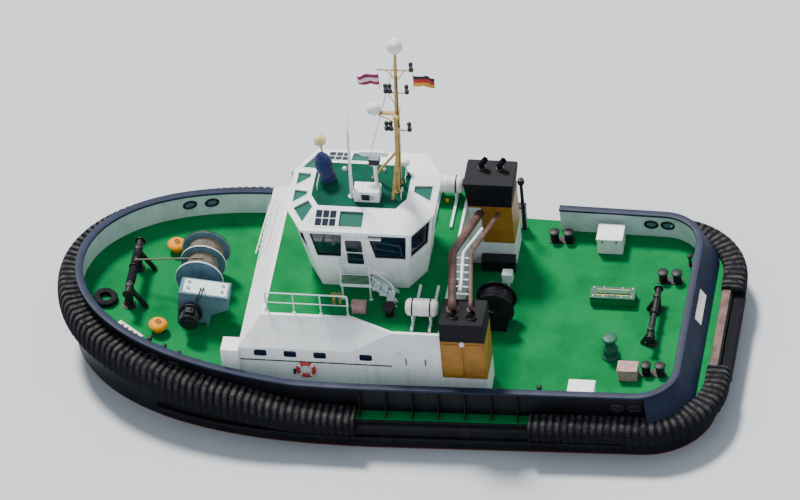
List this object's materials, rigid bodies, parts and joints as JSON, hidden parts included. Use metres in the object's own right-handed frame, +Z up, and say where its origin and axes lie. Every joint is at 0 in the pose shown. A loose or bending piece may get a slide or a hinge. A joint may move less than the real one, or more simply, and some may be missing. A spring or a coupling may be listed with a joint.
{
  "type": "harbour tugboat",
  "caption": "Harbour tug afloat: full hull, bulwark and fenders, deckhouse, raised wheelhouse, mast, towing winch, and steerable thrusters with nozzles.",
  "frame": {"origin": "amidships on the centreline, at the level of the water", "axes": "+X forward to the bow, +Y to port, +Z up"},
  "size_m": [24.1034, 11.6344, 18.6878],
  "materials": {
    "hull_black": "satin marine topside paint, black",
    "deck_green": "matt anti-slip deck paint, green",
    "bulwark_inside": "satin paint, light grey-green",
    "cap_navy": "satin paint, dark navy",
    "fender_rubber": "weathered dark grey rubber",
    "house_white": "satin paint, white",
    "casing_ochre": "satin paint, ochre",
    "cap_black": "matt heat-proof paint, black",
    "arch_brown": "worn paint, red-brown",
    "window_glass": "tinted toughened glass",
    "rail_pale": "satin paint, pale grey",
    "raft_white": "glass-fibre canister, white",
    "buoy_red": "red plastic shell",
    "mast_yellow": "satin paint, yellow",
    "canvas_blue": "blue canvas cover",
    "lamp_cream": "gloss paint, cream",
    "aerial_white": "glass-fibre whip, white",
    "flag_cloth": "woven flag cloth",
    "winch_blue": "satin paint, blue-grey",
    "motor_black": "painted casting, black",
    "bitt_black": "worn paint, black",
    "vent_orange": "gloss paint, orange-yellow",
    "tyre_rubber": "used tyre rubber",
    "hatch_yellow": "worn paint, yellow",
    "capstan_green": "gloss paint, dark green",
    "vent_pink": "faded paint, pink-grey",
    "thruster_black": "antifouling paint, black",
    "propeller_bronze": "cast nickel-aluminium bronze"
  },
  "bodies": {
    "tug": {"hull": "hull_black", "main_deck": "deck_green", "fore_deck": "deck_green", "bulwark": "bulwark_inside", "cap_rail": "cap_navy", "bow_fender": "fender_rubber", "stern_fender": "fender_rubber", "deckhouse": "house_white", "boat_deck": "deck_green", "port_funnel": "casing_ochre", "port_funnel_cap": "cap_black", "starboard_funnel": "casing_ochre", "starboard_funnel_cap": "cap_black", "tow_arch": "arch_brown", "wheelhouse": "house_white", "wheelhouse_glass": "window_glass", "wheelhouse_roof": "house_white", "skylight_glass": "window_glass", "port_platform": "rail_pale", "starboard_platform": "rail_pale", "port_rail": "rail_pale", "port_raft": "raft_white", "port_lifebuoy": "buoy_red", "starboard_rail": "rail_pale", "starboard_raft": "raft_white", "starboard_lifebuoy": "buoy_red", "mast": "mast_yellow", "radar_pedestal": "house_white", "compass_cover": "canvas_blue", "searchlight": "lamp_cream", "pole_aerial": "aerial_white", "house_flag": "flag_cloth", "ensign": "flag_cloth", "winch_frame": "winch_blue", "winch_gearbox": "winch_blue", "winch_motor": "motor_black", "tow_staple": "bitt_black", "port_vent": "vent_orange", "starboard_vent": "vent_orange", "deck_tyre": "tyre_rubber", "port_locker": "house_white", "starboard_locker": "house_white", "roof_locker": "house_white", "hatch_coaming": "deck_green", "capstan_base": "capstan_green", "stern_bitt": "bitt_black", "vent_box": "vent_pink", "reel_stand": "motor_black"},
    "port_thruster": {"port_thruster": "thruster_black"},
    "port_propeller": {"port_propeller": "propeller_bronze"},
    "starboard_thruster": {"starboard_thruster": "thruster_black"},
    "starboard_propeller": {"starboard_propeller": "propeller_bronze"},
    "winch_drum": {"winch_drum": "winch_blue"},
    "radar_scanner": {"radar_scanner": "aerial_white"},
    "capstan_head": {"capstan_head": "capstan_green"},
    "rope_reel": {"rope_reel": "motor_black"},
    "hatch_lid": {"hatch_lid": "hatch_yellow"},
    "deckhouse_door": {"deckhouse_door": "house_white"},
    "port_door": {"port_door": "house_white"},
    "starboard_door": {"starboard_door": "house_white"}
  },
  "joints": [
    {"name": "port_thruster_turn", "type": "hinge", "parent": "tug", "child": "port_thruster", "pos_m": [-8.5, 2.3, -1.56], "axis": [0, 0, 1], "continuous": true},
    {"name": "starboard_thruster_turn", "type": "hinge", "parent": "tug", "child": "starboard_thruster", "pos_m": [-8.5, -2.3, -1.56], "axis": [0, 0, 1], "continuous": true},
    {"name": "port_propeller_spin", "type": "hinge", "parent": "port_thruster", "child": "port_propeller", "pos_m": [-9.26, 2.3, -3.1], "axis": [1, 0, 0], "continuous": true},
    {"name": "starboard_propeller_spin", "type": "hinge", "parent": "starboard_thruster", "child": "starboard_propeller", "pos_m": [-9.26, -2.3, -3.1], "axis": [1, 0, 0], "continuous": true},
    {"name": "winch_drum_turn", "type": "hinge", "parent": "tug", "child": "winch_drum", "pos_m": [6.988, 0, 2.7754], "axis": [0, 1, 0], "continuous": true},
    {"name": "radar_turn", "type": "hinge", "parent": "tug", "child": "radar_scanner", "pos_m": [0.35, 0, 8.8308], "axis": [0, 0, 1], "continuous": true},
    {"name": "capstan_turn", "type": "hinge", "parent": "tug", "child": "capstan_head", "pos_m": [-7.7, 1.55, 1.6308], "axis": [0, 0, 1], "continuous": true},
    {"name": "rope_reel_turn", "type": "hinge", "parent": "tug", "child": "rope_reel", "pos_m": [-3.48, 0.15, 2.2303], "axis": [0, 1, 0], "continuous": true},
    {"name": "hatch_lid_hinge", "type": "hinge", "parent": "tug", "child": "hatch_lid", "pos_m": [-7.425, -1.52, 1.6608], "axis": [1, 0, 0], "range_deg": [0, 100]},
    {"name": "deckhouse_door_hinge", "type": "hinge", "parent": "tug", "child": "deckhouse_door", "pos_m": [-2.245, -1.34, 2.4], "axis": [0, 0, 1], "range_deg": [0, 110]},
    {"name": "port_door_slide", "type": "slide", "parent": "tug", "child": "port_door", "axis": [-1, 0, 0], "range_m": [0, 0.62]},
    {"name": "starboard_door_slide", "type": "slide", "parent": "tug", "child": "starboard_door", "axis": [-1, 0, 0], "range_m": [0, 0.62]}
  ]
}
